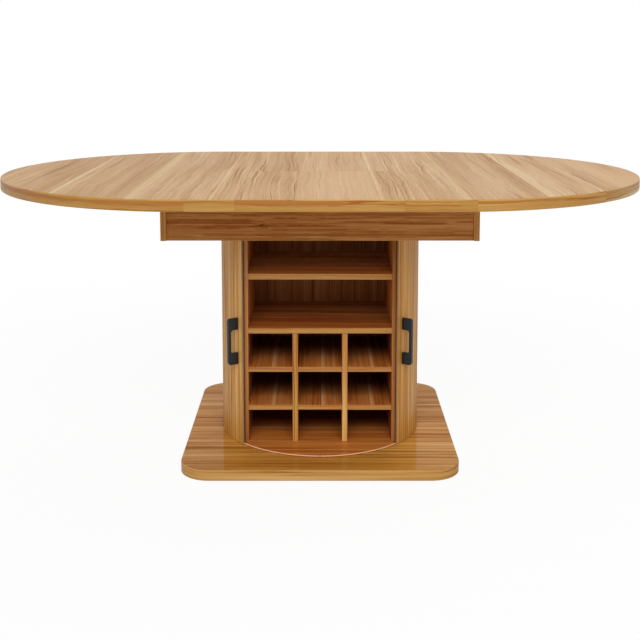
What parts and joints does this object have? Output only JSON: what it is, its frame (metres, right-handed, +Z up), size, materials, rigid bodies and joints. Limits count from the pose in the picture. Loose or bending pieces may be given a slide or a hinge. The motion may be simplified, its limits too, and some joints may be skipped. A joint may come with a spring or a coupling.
{
  "type": "extension table",
  "caption": "Extending oval dining table with a folding centre leaf, on a round cabinet pedestal with open shelves, a bottle rack and curved sliding doors.",
  "frame": {"origin": "on the floor, under the centre of the drum and of the table top", "axes": "+Z up, +X along the table's length to the right of someone facing the cabinet's open front, -Y towards that front"},
  "size_m": [1.7588, 1.145, 0.762],
  "materials": {
    "top_veneer": "satin lacquered walnut-brown veneer, grain front to back",
    "door_veneer": "satin veneer, upright grain",
    "case_veneer": "satin veneer with solid edges",
    "back_board": "dark veneered back",
    "frame_board": "plain board, out of sight",
    "slide_beech": "waxed beech",
    "black_metal": "satin black",
    "dark_edging": "dark brown edging",
    "light_nylon": "translucent off-white nylon",
    "steel": "zinc plated",
    "brass": "brushed brass",
    "felt": "brown felt"
  },
  "bodies": {
    "pedestal_frame": {"floor_pads": "felt", "base_plate": "case_veneer", "door_rail_left": "light_nylon", "door_rail_right": "light_nylon", "side_panel_left": "case_veneer", "side_panel_right": "case_veneer", "cabinet_back": "back_board", "middle_shelf": "case_veneer", "upper_shelf": "case_veneer", "rack_shelf_upper": "case_veneer", "rack_shelf_lower": "case_veneer", "divider_left": "case_veneer", "divider_right": "case_veneer", "drum_top": "frame_board", "drum_shell_left": "case_veneer", "drum_shell_right": "case_veneer", "drum_ribs_left": "frame_board", "drum_ribs_right": "frame_board", "drum_ribs_rear": "frame_board", "frame_floor": "frame_board", "frame_tenons": "slide_beech", "apron_end_left": "case_veneer", "apron_end_right": "case_veneer", "apron_front": "case_veneer", "apron_rear": "case_veneer", "corner_blocks": "slide_beech", "glide_strips": "light_nylon", "slide_bearers": "slide_beech", "centre_bars": "slide_beech", "pinion_pins": "steel"},
    "top_half_left": {"top_left": "top_veneer", "batten_left": "slide_beech", "slide_bar_left_front": "slide_beech", "slide_bar_left_rear": "slide_beech", "racks_left": "steel"},
    "top_half_right": {"top_right": "top_veneer", "batten_right": "slide_beech", "slide_bar_right_front": "slide_beech", "slide_bar_right_rear": "slide_beech", "racks_right": "steel"},
    "leaf_back": {"leaf_rear": "top_veneer", "leaf_hinges_rear": "brass"},
    "leaf_flap": {"leaf_front": "top_veneer", "leaf_hinges_front": "brass"},
    "door_body_left": {"door_left": "door_veneer", "door_edge_left": "dark_edging", "door_glides_left": "light_nylon", "handle_left": "black_metal"},
    "door_body_right": {"door_right": "door_veneer", "door_edge_right": "dark_edging", "door_glides_right": "light_nylon", "handle_right": "black_metal"},
    "pinion_body_front": {"pinion_front": "steel"},
    "pinion_body_rear": {"pinion_rear": "steel"}
  },
  "joints": [
    {"name": "top_left_slide", "type": "slide", "parent": "pedestal_frame", "child": "top_half_left", "axis": [-1, 0, 0], "range_m": [0, 0.04]},
    {"name": "top_right_slide", "type": "slide", "parent": "pedestal_frame", "child": "top_half_right", "axis": [1, 0, 0], "range_m": [0, 0.04]},
    {"name": "pinion_front_spin", "type": "hinge", "parent": "pedestal_frame", "child": "pinion_body_front", "pos_m": [0, -0.25, 0.696], "axis": [0, 0, 1], "range_deg": [-153.3, 0]},
    {"name": "pinion_rear_spin", "type": "hinge", "parent": "pedestal_frame", "child": "pinion_body_rear", "pos_m": [0, 0.25, 0.696], "axis": [0, 0, 1], "range_deg": [0, 153.3]},
    {"name": "leaf_lift", "type": "slide", "parent": "pedestal_frame", "child": "leaf_back", "axis": [0, 0, 1], "range_m": [0, 0.08]},
    {"name": "leaf_fold", "type": "hinge", "parent": "leaf_back", "child": "leaf_flap", "pos_m": [0, 0, 0.76215], "axis": [-1, 0, 0], "range_deg": [0, 180]},
    {"name": "door_left_slide", "type": "hinge", "parent": "pedestal_frame", "child": "door_body_left", "pos_m": [0, 0, 0.3], "axis": [0, 0, 1], "range_deg": [0, 48.5]},
    {"name": "door_right_slide", "type": "hinge", "parent": "pedestal_frame", "child": "door_body_right", "pos_m": [0, 0, 0.3], "axis": [0, 0, -1], "range_deg": [0, 48.5]}
  ],
  "couplings": [
    {"joint": "top_right_slide", "follows": "top_left_slide", "ratio": 1},
    {"joint": "pinion_front_spin", "follows": "top_left_slide", "rad_per_m": -66.667},
    {"joint": "pinion_rear_spin", "follows": "top_left_slide", "rad_per_m": 66.667}
  ]
}
